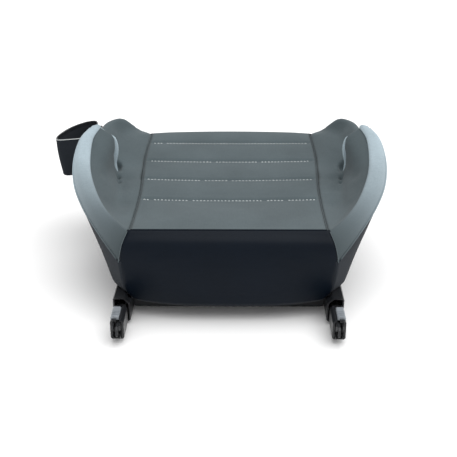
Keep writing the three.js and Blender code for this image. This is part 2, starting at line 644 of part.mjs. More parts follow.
add('cup_pouch', pouch, CHARCOAL_FABRIC);
const barrel = (low, high) => rod(4, [cupHingeX, low, cupHingeZ], [cupHingeX, high, cupHingeZ], 14);
const [hingeLow, hingeHigh] = [116, 140];
const hinge = join(barrel(hingeLow, hingeHigh), boxBetween(
  [cupHingeX - 7.5, hingeLow, cupRim - HOOP + 2 * GAP],
  [cupHingeX - 1, hingeHigh, cupRim],
));
const pinHoles = rod(2.3, [cupHingeX, 90, cupHingeZ], [cupHingeX, 170, cupHingeZ], 12);
const hoop = cut(join(cupBlock(0, cupRim - HOOP + GAP, cupRim), hinge), mouth, pinHoles);
add('cup_hoop', hoop, BLACK_PLASTIC);

const ears = [[hingeLow - 6, hingeLow - 0.5], [hingeHigh + 0.5, hingeHigh + 6]].map(([low, high]) => join(
  barrel(low, high),
  boxBetween([cupHingeX, low, cupHingeZ - 4], [BRACKET_OUTER + 1, high, cupHingeZ + 3]),
));
const backing = boxBetween(
  [BRACKET_OUTER, hingeLow - 6, 138],
  [BRACKET_OUTER + 2, hingeHigh + 6, cupHingeZ + 3],
);
const bracket = cut(join(backing, ...ears), pinHoles, ...CUP_RIVETS.map(rivetHole));
add('cup_bracket', bracket, BLACK_PLASTIC);
const cupPin = rod(2, [cupHingeX, hingeLow - 6, cupHingeZ], [cupHingeX, hingeHigh + 6, cupHingeZ], 12);
add('cup_pin', cupPin, STEEL);
CUP_RIVETS.forEach((y, i) => {
  const head = rod(4.5, [BRACKET_OUTER - 1.8, y, CUP_RIVET_Z], [BRACKET_OUTER - GAP, y, CUP_RIVET_Z], 10);
  const shank = rod(RIVET, [BRACKET_OUTER - 1, y, CUP_RIVET_Z], [-196, y, CUP_RIVET_Z], 10);
  add(`cup_rivet_${i + 1}`, join(head, shank), BLACK_PLASTIC);
});

export default seat;
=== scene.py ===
"""Looks of the booster seat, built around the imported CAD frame.

Lengths are in millimetres until a mesh is made.
"""
import json
import math

import bmesh
import bpy
import numpy as np
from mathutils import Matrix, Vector
from mathutils.bvhtree import BVHTree
from mathutils.kdtree import KDTree


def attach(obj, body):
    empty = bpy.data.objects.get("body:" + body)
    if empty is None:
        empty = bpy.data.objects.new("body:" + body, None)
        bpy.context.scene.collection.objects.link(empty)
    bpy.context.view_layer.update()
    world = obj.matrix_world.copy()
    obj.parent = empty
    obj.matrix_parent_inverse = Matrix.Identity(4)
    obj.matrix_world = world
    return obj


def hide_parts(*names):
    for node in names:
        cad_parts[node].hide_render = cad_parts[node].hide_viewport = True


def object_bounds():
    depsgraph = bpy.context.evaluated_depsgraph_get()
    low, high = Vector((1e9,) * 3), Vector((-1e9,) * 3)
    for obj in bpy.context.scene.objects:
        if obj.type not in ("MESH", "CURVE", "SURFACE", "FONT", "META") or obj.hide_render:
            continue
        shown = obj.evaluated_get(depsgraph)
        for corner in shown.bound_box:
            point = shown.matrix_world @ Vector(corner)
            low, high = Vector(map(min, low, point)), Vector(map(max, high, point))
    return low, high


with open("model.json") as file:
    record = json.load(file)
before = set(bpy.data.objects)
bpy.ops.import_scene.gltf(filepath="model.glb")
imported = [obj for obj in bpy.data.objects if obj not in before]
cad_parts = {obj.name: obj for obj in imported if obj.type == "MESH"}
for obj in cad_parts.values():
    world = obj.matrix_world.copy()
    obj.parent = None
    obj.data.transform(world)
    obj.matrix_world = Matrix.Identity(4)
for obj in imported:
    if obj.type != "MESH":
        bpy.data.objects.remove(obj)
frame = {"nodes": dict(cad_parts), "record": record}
cad_low, cad_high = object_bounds()

MM = 0.001

# ---- camera ----
CAMERA_AT = (12.5, -1195.0, 578.6)
CAMERA_TURN = math.radians(0.63)
CAMERA_DOWN = math.radians(23.7)
CAMERA_ROLL = math.radians(0.14)
CAMERA_LENS = 68.8


def make_camera():
    data = bpy.data.cameras.new("camera")
    data.lens = CAMERA_LENS
    data.sensor_width = 36
    camera = bpy.data.objects.new("camera", data)
    camera.location = [value * MM for value in CAMERA_AT]
    camera.rotation_euler = (math.pi / 2 - CAMERA_DOWN, CAMERA_ROLL, CAMERA_TURN)
    bpy.context.collection.objects.link(camera)
    bpy.context.scene.camera = camera


make_camera()

# ---- driving lines, the same as the CAD part's ----
CUSHION_REAR, CUSHION_FRONT = -164, 182
HEM = 38
REAR_STATIONS = {
    "seam": [(127.6, -164, 122), (127.6, -131, 120), (127.5, -96, 119.5), (127.4, -58, 119.7),
             (127.4, -22, 122.5), (128.4, 6, 125), (129.5, 33, 128)],
    "valley": [(129, -164, 122), (142, -131, 121.5), (147, -96, 119.5), (152, -58, 119.5),
               (158, -22, 123), (162, 6, 126.5), (164, 33, 129.5)],
    "wall": [(129.7, -164.3, 122.3), (149.5, -131, 124), (160.5, -96, 125), (169, -58, 130.5),
             (172, -22, 138), (172.5, 6, 142), (171.5, 33, 146)],
    "brow": [(130.3, -164.7, 122.7), (155.5, -131, 129.3), (171, -96.5, 134.5), (183, -58, 147),
             (184.5, -22, 160), (178, 6, 174), (169.5, 33, 186)],
    "crest": [(131, -165, 123), (160, -131, 135.5), (179, -97, 147), (194, -58, 165),
              (200, -22, 179), (199, 6, 197), (191.5, 33, 206.5)],
    "rim": [(142, -181, 86), (173, -140, 108), (201, -95, 129), (217, -57, 148),
            (221.5, -22, 171), (215, 6, 193), (202, 33, 203.5)],
    "belly": [(140, -178, 62), (166, -137, 74), (182, -98, 84), (191, -58, 92),
              (196, -20, 98), (198, 8, 100), (197, 33.5, 101)],
    "hem": [(137, -172, HEM), (155, -146, HEM), (160, -104, HEM), (163, -60, HEM),
            (164, -20, HEM), (164, 10, HEM), (164, 34, HEM)],
}
FRONT_STATIONS = {
    "seam": [(129.5, 34, 128), (131, 60, 130), (131.5, 92, 135), (130.5, 120, 140),
             (129, 142, 143.5), (128.2, 160, 145.5), (127.9, 174, 146.5)],
    "valley": [(159, 34, 129.7), (153, 60, 135), (149, 92, 143), (146, 120, 149),
               (140, 143, 152), (133, 161, 152), (130, 175, 147)],
    "crest": [(196, 50, 160), (195, 66, 175), (193, 95, 181), (187, 122, 184),
              (170, 144, 182), (150, 162, 161), (133, 176, 148)],
    "rim": [(204, 50, 150), (206, 66, 164), (205, 95, 169), (200, 126, 170),
            (184, 154, 166), (160, 174, 142), (140, 186, 126)],
    "belly": [(197, 37, 101), (195, 62, 100), (193, 95, 98), (188, 126, 94),
              (175, 154, 88), (157, 173, 84), (138, 184, 80)],
    "hem": [(164, 36, HEM), (164, 62, HEM), (164, 95, HEM), (162, 126, HEM),
            (156, 152, HEM), (146, 168, HEM), (133, 176, HEM)],
}


def knots_of(points):
    """The points, with a reflected point added at each end."""
    ends = [2 * points[0] - points[1], *points, 2 * points[-1] - points[-2]]
    return np.array(ends)


def smooth_line(points):
    """A centripetal Catmull-Rom curve: t from 0 to 1 gives points, spaced evenly by station."""
    ends = knots_of(np.array(points, float))
    last = len(points) - 1

    def at(t):
        t = np.clip(np.asarray(t, float), 0, 1) * last
        index = np.minimum(t.astype(int), last - 1)
        w = (t - index)[..., None]
        p0, p1, p2, p3 = (ends[index + k] for k in range(4))
        spans = ((p0, p1), (p1, p2), (p2, p3))
        d0, d1, d2 = (np.linalg.norm(b - a, axis=-1)[..., None] ** 0.5 for a, b in spans)
        d1 = np.maximum(d1, 1e-4)
        d0 = np.where(d0 < 1e-4, d1, d0)
        d2 = np.where(d2 < 1e-4, d1, d2)
        m1 = ((p1 - p0) / d0 - (p2 - p0) / (d0 + d1) + (p2 - p1) / d1) * d1
        m2 = ((p2 - p1) / d1 - (p3 - p1) / (d1 + d2) + (p3 - p2) / d2) * d1
        c2 = -3 * p1 + 3 * p2 - 2 * m1 - m2
        c3 = 2 * p1 - 2 * p2 + m1 + m2
        return p1 + m1 * w + c2 * w ** 2 + c3 * w ** 3

    return at


def line_through(points):
    """Smooth curves through points that are arrays: one curve for each row, read at u."""
    stack = np.stack(points)
    last = len(points) - 1

    def at(u):
        u = np.clip(np.asarray(u, float), 0, 1) * last
        index = np.minimum(u.astype(int), last - 1)
        w = (u - index)[..., None]
        rows = np.arange(stack.shape[1])
        ends = np.concatenate([2 * stack[:1] - stack[1:2], stack, 2 * stack[-1:] - stack[-2:-1]])
        p0, p1, p2, p3 = (ends[index + k, rows] for k in range(4))
        spans = ((p0, p1), (p1, p2), (p2, p3))
        d0, d1, d2 = (np.linalg.norm(b - a, axis=-1)[..., None] ** 0.5 for a, b in spans)
        d0, d1, d2 = (np.maximum(d, 1e-4) for d in (d0, d1, d2))
        m1 = ((p1 - p0) / d0 - (p2 - p0) / (d0 + d1) + (p2 - p1) / d1) * d1
        m2 = ((p2 - p1) / d1 - (p3 - p1) / (d1 + d2) + (p3 - p2) / d2) * d1
        return p1 + m1 * w + (-3 * p1 + 3 * p2 - 2 * m1 - m2) * w ** 2 + (2 * p1 - 2 * p2 + m1 + m2) * w ** 3

    return at


rear = {key: smooth_line(points) for key, points in REAR_STATIONS.items()}
front = {key: smooth_line(points) for key, points in FRONT_STATIONS.items()}
MEET = 34


def rail_at(key, y):
    """The point of a rail at distances y along the seat."""
    t = np.linspace(0, 1, 400)
    whole = np.concatenate([rear[key](t[:-1]), front[key](t)])
    return np.stack([np.interp(y, whole[:, 1], whole[:, axis]) for axis in range(3)], axis=-1)


def bump(distance, width):
    """A smooth hill of height 1 at 0 that fades out over the width."""
    return np.exp(-(distance / width) ** 2)


def ease(x):
    x = np.clip(x, 0, 1)
    return x * x * (3 - 2 * x)


# ---- mesh helpers ----
def new_object(name, vertices, faces, smooth=True):
    mesh = bpy.data.meshes.new(name)
    mesh.from_pydata([tuple(v) for v in np.asarray(vertices) * MM], [], [tuple(f) for f in faces])
    mesh.validate()
    mesh.shade_smooth() if smooth else mesh.shade_flat()
    piece = bpy.data.objects.new(name, mesh)
    bpy.context.collection.objects.link(piece)
    return piece


def grid_faces(rows, columns, start=0, flip=False):
    faces = []
    for j in range(rows - 1):
        for i in range(columns - 1):
            a = start + j * columns + i
            quad = (a, a + 1, a + columns + 1, a + columns)
            faces.append(quad[::-1] if flip else quad)
    return faces


def solid_between(name, lower, upper, across, along):
    """A closed solid whose lower and upper faces follow lower(u, v) and upper(u, v)."""
    u, v = np.meshgrid(np.linspace(0, 1, across + 1), np.linspace(0, 1, along + 1))
    columns, rows = across + 1, along + 1
    tops = upper(u.ravel(), v.ravel())
    bottoms = lower(u.ravel(), v.ravel())
    count = rows * columns
    faces = grid_faces(rows, columns) + grid_faces(rows, columns, count, flip=True)
    edge = list(range(columns))
    edge += [columns * (j + 1) - 1 for j in range(1, rows)]
    edge += [columns * rows - 1 - i for i in range(1, columns)]
    edge += [columns * (rows - 1 - j) for j in range(1, rows - 1)]
    for a, b in zip(edge, edge[1:] + edge[:1]):
        faces.append((b, a, a + count, b + count))
    piece = new_object(name, np.concatenate([tops, bottoms]), faces)
    face_outwards(piece)
    return piece


def face_outwards(piece):
    mesh = bmesh.new()
    mesh.from_mesh(piece.data)
    bmesh.ops.recalc_face_normals(mesh, faces=mesh.faces)
    mesh.to_mesh(piece.data)
    mesh.free()


def apply_modifiers(piece):
    bpy.context.view_layer.update()
    graph = bpy.context.evaluated_depsgraph_get()
    mesh = bpy.data.meshes.new_from_object(piece.evaluated_get(graph))
    piece.modifiers.clear()
    old = piece.data
    piece.data = mesh
    bpy.data.meshes.remove(old)
    piece.data.shade_smooth()


def subdivide(piece, levels=1):
    modifier = piece.modifiers.new("subdivide", "SUBSURF")
    modifier.levels = levels
    modifier.render_levels = levels
    apply_modifiers(piece)


def points_of(piece):
    flat = np.empty(len(piece.data.vertices) * 3)
    piece.data.vertices.foreach_get("co", flat)
    return flat.reshape(-1, 3) / MM


def set_points(piece, points):
    piece.data.vertices.foreach_set("co", (points * MM).ravel())
    piece.data.update()


def mirror_copy(piece, name):
    copy = piece.copy()
    copy.data = piece.data.copy()
    copy.name = name
    bpy.context.collection.objects.link(copy)
    points = points_of(copy)
    points[:, 0] *= -1
    set_points(copy, points)
    copy.data.flip_normals()
    return copy


def moved(points, dx=0.0, dy=0.0, dz=0.0):
    return points + np.stack(np.broadcast_arrays(dx, dy, dz), axis=-1)


def blend_points(a, b, t):
    return a + (b - a) * np.asarray(t)[..., None]


def box_tool(name, low, high):
    corners = [(x, y, z) for x in (low[0], high[0]) for y in (low[1], high[1]) for z in (low[2], high[2])]
    faces = [(0, 1, 3, 2), (4, 6, 7, 5), (0, 4, 5, 1), (2, 3, 7, 6), (0, 2, 6, 4), (1, 5, 7, 3)]
    return new_object(name, corners, faces, smooth=False)


def boolean(piece, tool, operation):
    modifier = piece.modifiers.new("cut", "BOOLEAN")
    modifier.operation = operation
    modifier.object = tool
    modifier.solver = "EXACT"
    apply_modifiers(piece)
    bpy.data.objects.remove(tool)


def remesh(piece, voxel, rounds):
    modifier = piece.modifiers.new("remesh", "REMESH")
    modifier.mode = "VOXEL"
    modifier.voxel_size = voxel * MM
    smooth = piece.modifiers.new("smooth", "SMOOTH")
    smooth.factor = 0.5
    smooth.iterations = rounds
    apply_modifiers(piece)


def weight_group(piece, name, weights):
    group = piece.vertex_groups.new(name=name)
    for index, weight in enumerate(weights):
        if weight > 0.001:
            group.add([index], float(weight), "REPLACE")
    return group


def smooth_where(piece, weights, rounds):
    weight_group(piece, "soft", weights)
    smooth = piece.modifiers.new("smooth", "SMOOTH")
    smooth.iterations = rounds
    smooth.vertex_group = "soft"
    apply_modifiers(piece)
    piece.vertex_groups.clear()


def join_meshes(piece, other):
    whole = bmesh.new()
    whole.from_mesh(piece.data)
    whole.from_mesh(other.data)
    whole.to_mesh(piece.data)
    whole.free()
    bpy.data.objects.remove(other)


def dress(piece, material, body, slot, *nodes):
    """Gives a piece its material and its body, and hides the CAD nodes it stands for. The slot argument is
    not used.
    """
    piece.data.materials.clear()
    piece.data.materials.append(material)
    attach(piece, body)
    if nodes:
        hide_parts(*nodes)


# ---- materials ----
class Shader:
    """A small helper to wire one material's nodes."""

    def __init__(self, name):
        self.material = bpy.data.materials.new(name)
        self.material.use_nodes = True
        self.tree = self.material.node_tree
        self.main = self.tree.nodes["Principled BSDF"]
        self.place = self.node("ShaderNodeTexCoord").outputs["Object"]

    def node(self, kind, **values):
        made = self.tree.nodes.new(kind)
        for key, value in values.items():
            setattr(made, key, value)
        return made

    def link(self, source, target):
        self.tree.links.new(source, target)

    def noise(self, scale, detail=2.0, stretch=(1, 1, 1)):
        made = self.node("ShaderNodeTexNoise")
        made.inputs["Scale"].default_value = scale
        made.inputs["Detail"].default_value = detail
        mapping = self.node("ShaderNodeMapping")
        mapping.inputs["Scale"].default_value = stretch
        self.link(self.place, mapping.inputs["Vector"])
        self.link(mapping.outputs["Vector"], made.inputs["Vector"])
        return made.outputs["Fac"]

    def math(self, operation, a, b):
        made = self.node("ShaderNodeMath", operation=operation)
        for socket, value in zip(made.inputs, (a, b)):
            if isinstance(value, (int, float)):
                socket.default_value = value
            else:
                self.link(value, socket)
        return made.outputs[0]

    def ramp(self, factor, *stops):
        made = self.node("ShaderNodeValToRGB")
        elements = made.color_ramp.elements
        while len(elements) < len(stops):
            elements.new(0.5)
        for element, (position, color) in zip(elements, stops):
            element.position = position
            element.color = (*color, 1)
        self.link(factor, made.inputs["Fac"])
        return made.outputs["Color"]

    def bump(self, height, strength, distance):
        made = self.node("ShaderNodeBump")
        made.inputs["Strength"].default_value = strength
        made.inputs["Distance"].default_value = distance
        self.link(height, made.inputs["Height"])
        self.link(made.outputs["Normal"], self.main.inputs["Normal"])


def tint(color, factor):
    return tuple(min(value * factor, 1) for value in color)


def fabric(name, color, weave=700, contrast=0.2, sheen=0.1, sheen_spread=0.5, roughness=0.92, shine=0.2):
    """Woven cloth: threads two ways, a soft cloudy tone and a fibrous surface."""
    shader = Shader(name)
    warp = shader.noise(weave, 2, (1, 0.12, 1))
    weft = shader.noise(weave, 2, (0.12, 1, 0.6))
    threads = shader.math("MULTIPLY", shader.math("ADD", warp, weft), 0.5)
    fibre = shader.noise(900, 3)
    cloud = shader.noise(14, 3)
    height = shader.math("ADD", shader.math("MULTIPLY", threads, 0.7), shader.math("MULTIPLY", fibre, 0.3))
    tone = shader.math("ADD", shader.math("MULTIPLY", height, 0.55), shader.math("MULTIPLY", cloud, 0.45))
    shader.link(
        shader.ramp(tone, (0.3, tint(color, 1 - contrast)), (0.7, tint(color, 1 + contrast))),
        shader.main.inputs["Base Color"],
    )
    shader.bump(height, 0.35, 0.0006)
    shader.main.inputs["Roughness"].default_value = roughness
    shader.main.inputs["Sheen Weight"].default_value = sheen
    shader.main.inputs["Sheen Roughness"].default_value = sheen_spread
    shader.main.inputs["Specular IOR Level"].default_value = shine
    return shader


def shade_painted_fabric(name, light, dark):
    """Woven trim with painted shade: its colour goes from dark at the rear tip to light on the armrest,
    standing in for the light falling off where the band turns down.
    """
    shader = fabric(name, light, sheen=0.08)
    ramp_out = shader.main.inputs["Base Color"].links[0].from_socket
    split = shader.node("ShaderNodeSeparateXYZ")
    shader.link(shader.place, split.inputs[0])
    # painted shade: the colour darkens towards the band's rear tip
    along = shader.node("ShaderNodeMapRange", interpolation_type="SMOOTHSTEP")
    along.inputs["From Min"].default_value = -0.185
    along.inputs["From Max"].default_value = 0.0
    shader.link(split.outputs["Y"], along.inputs["Value"])
    mix = shader.node("ShaderNodeMixRGB")
    mix.inputs["Color1"].default_value = (*dark, 1)
    shader.link(along.outputs["Result"], mix.inputs["Fac"])
    shader.link(ramp_out, mix.inputs["Color2"])
    shader.link(mix.outputs["Color"], shader.main.inputs["Base Color"])
    return shader


def plastic(name, color, roughness, grain=0.15, metallic=0.0):
    shader = Shader(name)
    grit = shader.noise(700, 2)
    marks = shader.noise(30, 4)
    shader.link(
        shader.ramp(marks, (0.35, tint(color, 0.88)), (0.7, tint(color, 1.15))),
        shader.main.inputs["Base Color"],
    )
    rough = shader.math("ADD", shader.math("MULTIPLY", marks, 0.2), roughness - 0.1)
    shader.link(rough, shader.main.inputs["Roughness"])
    shader.bump(grit, grain, 0.0003)
    shader.main.inputs["Metallic"].default_value = metallic
    return shader


GREY = (0.080, 0.103, 0.112)
LIGHT = (0.37, 0.45, 0.495)
CHARCOAL = (0.017, 0.021, 0.027)
BLACK = (0.0025, 0.0054, 0.0105)
grey_fabric = fabric("grey_fabric", GREY, sheen=0.12).material
# a brighter copy of the band colour, worn by the end roll inside the belt slot: painted light
light_fabric = fabric("light_fabric", tint(LIGHT, 1.15), sheen=0.08).material
# the band's colour fades to a dark grey at the rear tip: painted shade
band_painted_shade_fabric = shade_painted_fabric("band_painted_shade_fabric", LIGHT, tint(GREY, 0.7)).material
charcoal_fabric = fabric("charcoal_fabric", CHARCOAL, sheen=0.03).material
black_fabric = fabric(
    "black_fabric", BLACK, sheen=0.045, sheen_spread=0.25, roughness=0.42, shine=0.11).material
thread = fabric("thread", (0.66, 0.70, 0.70), weave=900).material
# a darkened copy of the grey cushion fabric for the side seam cords: painted shade in the seam grooves
seam_shade_fabric = fabric("seam_shade_fabric", tint(GREY, 0.65), weave=900).material
black_plastic = plastic("black_plastic", (0.012, 0.013, 0.015), 0.35).material
dark_plastic = plastic("dark_plastic", (0.02, 0.022, 0.025), 0.55, 0.4).material
silver_plastic = plastic("silver_plastic", (0.33, 0.36, 0.39), 0.35, 0.05, 0.3).material
steel = plastic("steel", (0.42, 0.43, 0.44), 0.35, 0.08, 1.0).material
black_steel = plastic("black_steel", (0.02, 0.021, 0.023), 0.38, 0.1, 0.4).material
rubber = plastic("rubber", (0.018, 0.018, 0.02), 0.85, 0.5).material
SLOT_MATERIALS = {
    "grey_fabric": grey_fabric, "light_fabric": light_fabric, "charcoal_fabric": charcoal_fabric,
    "black_fabric": black_fabric, "dark_plastic": dark_plastic, "black_plastic": black_plastic,
    "silver_plastic": silver_plastic, "steel": steel, "black_steel": black_steel, "rubber": rubber,
}
for part in frame["record"]["subparts"]:
    node = frame["nodes"][part["node"]]
    node.data.materials.clear()
    node.data.materials.append(SLOT_MATERIALS[part["material_slot"]])

# ---- padding: each pad is puffed up by a cloth simulation with air pressure ----
SWELL_FRAMES = 20


def swell(piece, voxel, cap, free, pressure=4.0):
    """Inflates a coarse copy of the piece as cloth, and adds its capped movement to the piece.
    free gives for each point how far it may follow: 0 where it is sewn or lies on the shell."""
    bag = piece.copy()
    bag.data = piece.data.copy()
    bpy.context.collection.objects.link(bag)
    remesh(bag, voxel, 1)
    start = points_of(bag)
    weight_group(bag, "sewn", 1 - np.clip(free(start), 0, 1))
    cloth = bag.modifiers.new("cloth", "CLOTH")
    cloth.settings.quality = 5
    cloth.settings.mass = 0.3
    cloth.settings.tension_stiffness = 12
    cloth.settings.compression_stiffness = 12
    cloth.settings.bending_stiffness = 1.5
    cloth.settings.use_pressure = True
    cloth.settings.uniform_pressure_force = pressure
    cloth.settings.vertex_group_mass = "sewn"
    cloth.settings.shrink_min = 0.0
    cloth.settings.effector_weights.gravity = 0
    cloth.point_cache.frame_start = 1
    cloth.point_cache.frame_end = SWELL_FRAMES
    for number in range(1, SWELL_FRAMES + 1):
        bpy.context.scene.frame_set(number)
    apply_modifiers(bag)
    shift = points_of(bag) - start
    bpy.data.objects.remove(bag)
    bpy.context.scene.frame_set(1)
    length = np.linalg.norm(shift, axis=1)[:, None]
    shift *= np.minimum(1, cap / np.maximum(length, 1e-6))
    tree = KDTree(len(start))
    for index, point in enumerate(start):
        tree.insert(point, index)
    tree.balance()
    points = points_of(piece)
    added = np.zeros_like(points)
    for index, point in enumerate(points):
        near = tree.find_n(point, 10)
        weights = np.array([1 / (distance + 3) for _, _, distance in near])
        added[index] = weights @ shift[[number for _, number, _ in near]] / weights.sum()
    set_points(piece, points + added * free(points)[:, None])


# ---- centre cushion ----
STITCH_LINES = (-48, 18, 80, 137)
CUSHION_FOOT = 90


def cushion_top(u, v):
    y = CUSHION_REAR + (CUSHION_FRONT - CUSHION_REAR) * v
    edge = rail_at("seam", y)
    side = 2 * u - 1
    reach = edge[:, 0] - 0.5
    x = side * reach
    dish = 2.5 * (1 - side ** 2) * np.sin(np.pi * v)
    inside = reach - np.abs(x)
    z = edge[:, 2] - dish + 1.5 + 3.0 * (1 - side ** 2) * ease((v - 0.84) / 0.16)
    for line in STITCH_LINES:
        z = z - 2.6 * bump(y - line, 3.2) * ease(inside / 6)
    stops = [CUSHION_REAR, *STITCH_LINES, CUSHION_FRONT]
    for low, high in zip(stops, stops[1:]):
        share = np.clip((y - low) / (high - low), 0, 1)
        z = z + 1.2 * np.sin(np.pi * share) * ease(inside / 30)
    z = z - 2.0 * (1 - ease(inside / 2)) - 2.5 * (1 - ease((y - CUSHION_REAR) / 5))
    z = z - 4 * (1 - ease((CUSHION_FRONT - y) / 10))
    return np.stack([x, y, z], axis=-1)


def cushion_bottom(u, v):
    points = cushion_top(u, v)
    points[:, 2] = CUSHION_FOOT
    return points


def cushion_free(points):
    y = points[:, 1]
    inside = rail_at("seam", y)[:, 0] - np.abs(points[:, 0])
    free = ease(inside / 14) * ease((y - CUSHION_REAR) / 16) * ease((CUSHION_FRONT - y) / 16)
    for line in STITCH_LINES:
        free = free * (1 - bump(y - line, 5))
    return free * (points[:, 2] > 100)


seat_top = solid_between("seat_top", cushion_bottom, cushion_top, 110, 150)
swell(seat_top, 6, 2.5, cushion_free)
cushion_faces = [tuple(polygon.vertices) for polygon in seat_top.data.polygons]
cushion_tree = BVHTree.FromPolygons(points_of(seat_top).tolist(), cushion_faces)


def drop_on_cushion(x, y):
    """The height of the cushion's upper face at one place."""
    return cushion_tree.ray_cast((x, y, 300), (0, 0, -1))[0].z


dress(seat_top, grey_fabric, "seat", "grey_fabric", "seat_cushion")

STITCH_LENGTH = 3.2
STITCH_STEP = 5.0
STITCH_RADIUS = 0.65


def make_stitches(name, lines, reach):
    """Rows of short thread stitches lying in the sewn channels of the cushion."""
    random = np.random.default_rng(7)
    vertices, faces = [], []
    ring = np.linspace(0, 2 * np.pi, 7)[:-1]
    for y in lines:
        for x in np.arange(-reach, reach, STITCH_STEP):
            if random.random() < 0.06:
                continue
            length = STITCH_LENGTH * random.uniform(0.8, 1.1)
            wander = random.normal(0, 0.25)
            surface = [(end, y, drop_on_cushion(end, y)) for end in (x, x + length * 0.5, x + length)]
            lift = np.array([-0.1, 0.7, -0.1])
            widths = np.array([0.5, 1.0, 0.5]) * STITCH_RADIUS
            start = len(vertices)
            for point, rise, width in zip(surface, lift, widths):
                for angle in ring:
                    vertices.append((point[0], point[1] + wander + width * 1.3 * np.cos(angle),
                                     point[2] + rise + width * np.sin(angle)))
            for j in range(2):
                for i in range(6):
                    k = (i + 1) % 6
                    row = start + j * 6
                    faces.append((row + i, row + k, row + 6 + k, row + 6 + i))
            faces.append(tuple(start + i for i in range(6))[::-1])
            faces.append(tuple(start + 12 + i for i in range(6)))
    piece = new_object(name, vertices, faces)
    face_outwards(piece)
    return piece


stitches = make_stitches("cushion_stitches", STITCH_LINES, 122)
dress(stitches, thread, "seat", "light_fabric")

# ---- side pads: petal, corner valley and front bolster in one piece of fabric ----
PAN_TOP = 88.5
PAD_FOOT_INSET = 24
SLOT_INNER, SLOT_FRONT, SLOT_FLOOR = 164, 56, 127
VOXEL = 2.2


def inner_skin(line):
    """The seat-facing skin: from the seam over the valley to the crest, and at the front on to the rim."""
    def at(u, v):
        seam, valley, crest = moved(line["seam"](v), 0.6), line["valley"](v), line["crest"](v)
        if "wall" in line:
            tucked = moved(crest, 0.5, 0, -2.5)
            return line_through([seam, valley, line["wall"](v), line["brow"](v), tucked])(u)
        slope = moved(blend_points(valley, crest, np.full(v.shape, 0.5)), 4, 0, -4)
        rim = line["rim"](v)
        turn = moved(blend_points(crest, rim, np.full(v.shape, 0.55)), 1.5, 0, 1.5)
        return line_through([seam, valley, slope, crest, turn, moved(rim, -2.5, 0, -5)])(u)
    return at


def pad_bottom(line):
    def at(u, v):
        seam, crest, belly = line["seam"](v), line["crest"](v), line["belly"](v)
        inner = np.stack([seam[:, 0] + 0.6, seam[:, 1], np.full(v.shape, PAN_TOP)], axis=-1)
        reach = np.maximum(belly[:, 0] - PAD_FOOT_INSET, seam[:, 0] + 4)
        foot = np.stack([reach, crest[:, 1], np.full(v.shape, PAN_TOP)], axis=-1)
        top = moved(crest, 1.0, 0, -8)
        bend = 0.55
        flat = blend_points(inner, foot, u / bend)
        upright = blend_points(foot, top, (u - bend) / (1 - bend))
        return np.where((u < bend)[:, None], flat, upright)
    return at


def make_side_pad():
    reach_back = 9.0

    def early(surface):
        return lambda u, v: moved(surface(u, v), 0, -reach_back * (1 - ease(v * 6)))

    petal = solid_between("side_pad_right", pad_bottom(rear), inner_skin(rear), 50, 90)
    bolster = solid_between("bolster_part", early(pad_bottom(front)), early(inner_skin(front)), 50, 70)
    remesh(bolster, VOXEL, 0)
    slot = box_tool("slot_tool", (SLOT_INNER, 0, SLOT_FLOOR), (260, SLOT_FRONT, 260))
    boolean(bolster, slot, "DIFFERENCE")
    join_meshes(petal, bolster)
    remesh(petal, VOXEL, 14)
    return petal


def sink(points, spots):
    """Dimples and folds where the fabric is pulled down: x, y, depth, width across and along."""
    upper = points[:, 2] > 100
    for x, y, depth, across, along in spots:
        away = np.hypot((points[:, 0] - x) / across, (points[:, 1] - y) / along)
        points[:, 2] -= depth * bump(away, 1.0) * upper
    return points


VALLEY_FOLDS = [
    (165.5, 19, 8.0, 3.0, 4), (163, 6, 4.5, 2.6, 4), (167, 8, 2.0, 5, 14),
    (160, -20, 1.5, 14, 22), (150, -70, 1.0, 16, 26),
]
pad_right = make_side_pad()
pad_points = points_of(pad_right)
past_seam = pad_points[:, 0] - rail_at("seam", pad_points[:, 1])[:, 0]
on_top = pad_points[:, 2] > 105
pad_points[:, 2] -= 3.0 * (1 - ease(past_seam / 3.5)) * on_top
set_points(pad_right, pad_points)
smooth_where(pad_right, bump(pad_points[:, 1] - 29, 14) * (pad_points[:, 0] < 166) * on_top, 50)
set_points(pad_right, sink(points_of(pad_right), VALLEY_FOLDS))
crest_points = np.concatenate([line["crest"](np.linspace(0, 1, 80)) for line in (rear, front)])


def pad_free(points):
    y = points[:, 1]
    from_seam = points[:, 0] - rail_at("seam", y)[:, 0]
    from_crest = np.min(np.linalg.norm(points[:, None] - crest_points[None, ::4], axis=2), axis=1)
    near_slot = bump(y - 40, 22) * (points[:, 0] > 150)
    free = ease(from_seam / 14) * ease(from_crest / 16) * (1 - near_slot) * (points[:, 2] > 112)
    return free * ease((y + 162) / 20) * ease((174 - y) / 16)


swell(pad_right, 6, 2.0, pad_free)
pad_left = mirror_copy(pad_right, "side_pad_left")
for piece, side in ((pad_right, "right"), (pad_left, "left")):
    dress(piece, grey_fabric, "seat", "grey_fabric", f"armrest_pad_{side}", f"front_bolster_{side}")

# ---- light band round the petal's rim ----
BAND_THICK = 5.0


def band_skin(inset):
    def at(u, v):
        crest, rim = rear["crest"](v), rear["rim"](v)
        bulge = 5 * np.sin(np.pi * np.minimum(v * 3, 1) / 2) * (1 - ease((v - 0.78) / 0.22))
        middle = moved(blend_points(crest, rim, np.full(v.shape, 0.5)), bulge * 0.5, 0, bulge)
        skin = line_through([crest, middle, rim])(u)
        roll = 1.6 * (1 - ease(np.minimum(u, 1 - u) / 0.12))
        sink = inset + roll
        return moved(skin, -sink * 0.6, 0, -sink * 0.8)
    return at


band_right = solid_between("band_right", band_skin(BAND_THICK), band_skin(0), 14, 90)
subdivide(band_right)
band_left = mirror_copy(band_right, "band_left")
for piece, side in ((band_right, "right"), (band_left, "left")):
    dress(piece, band_painted_shade_fabric, "seat", "light_fabric", f"band_{side}")


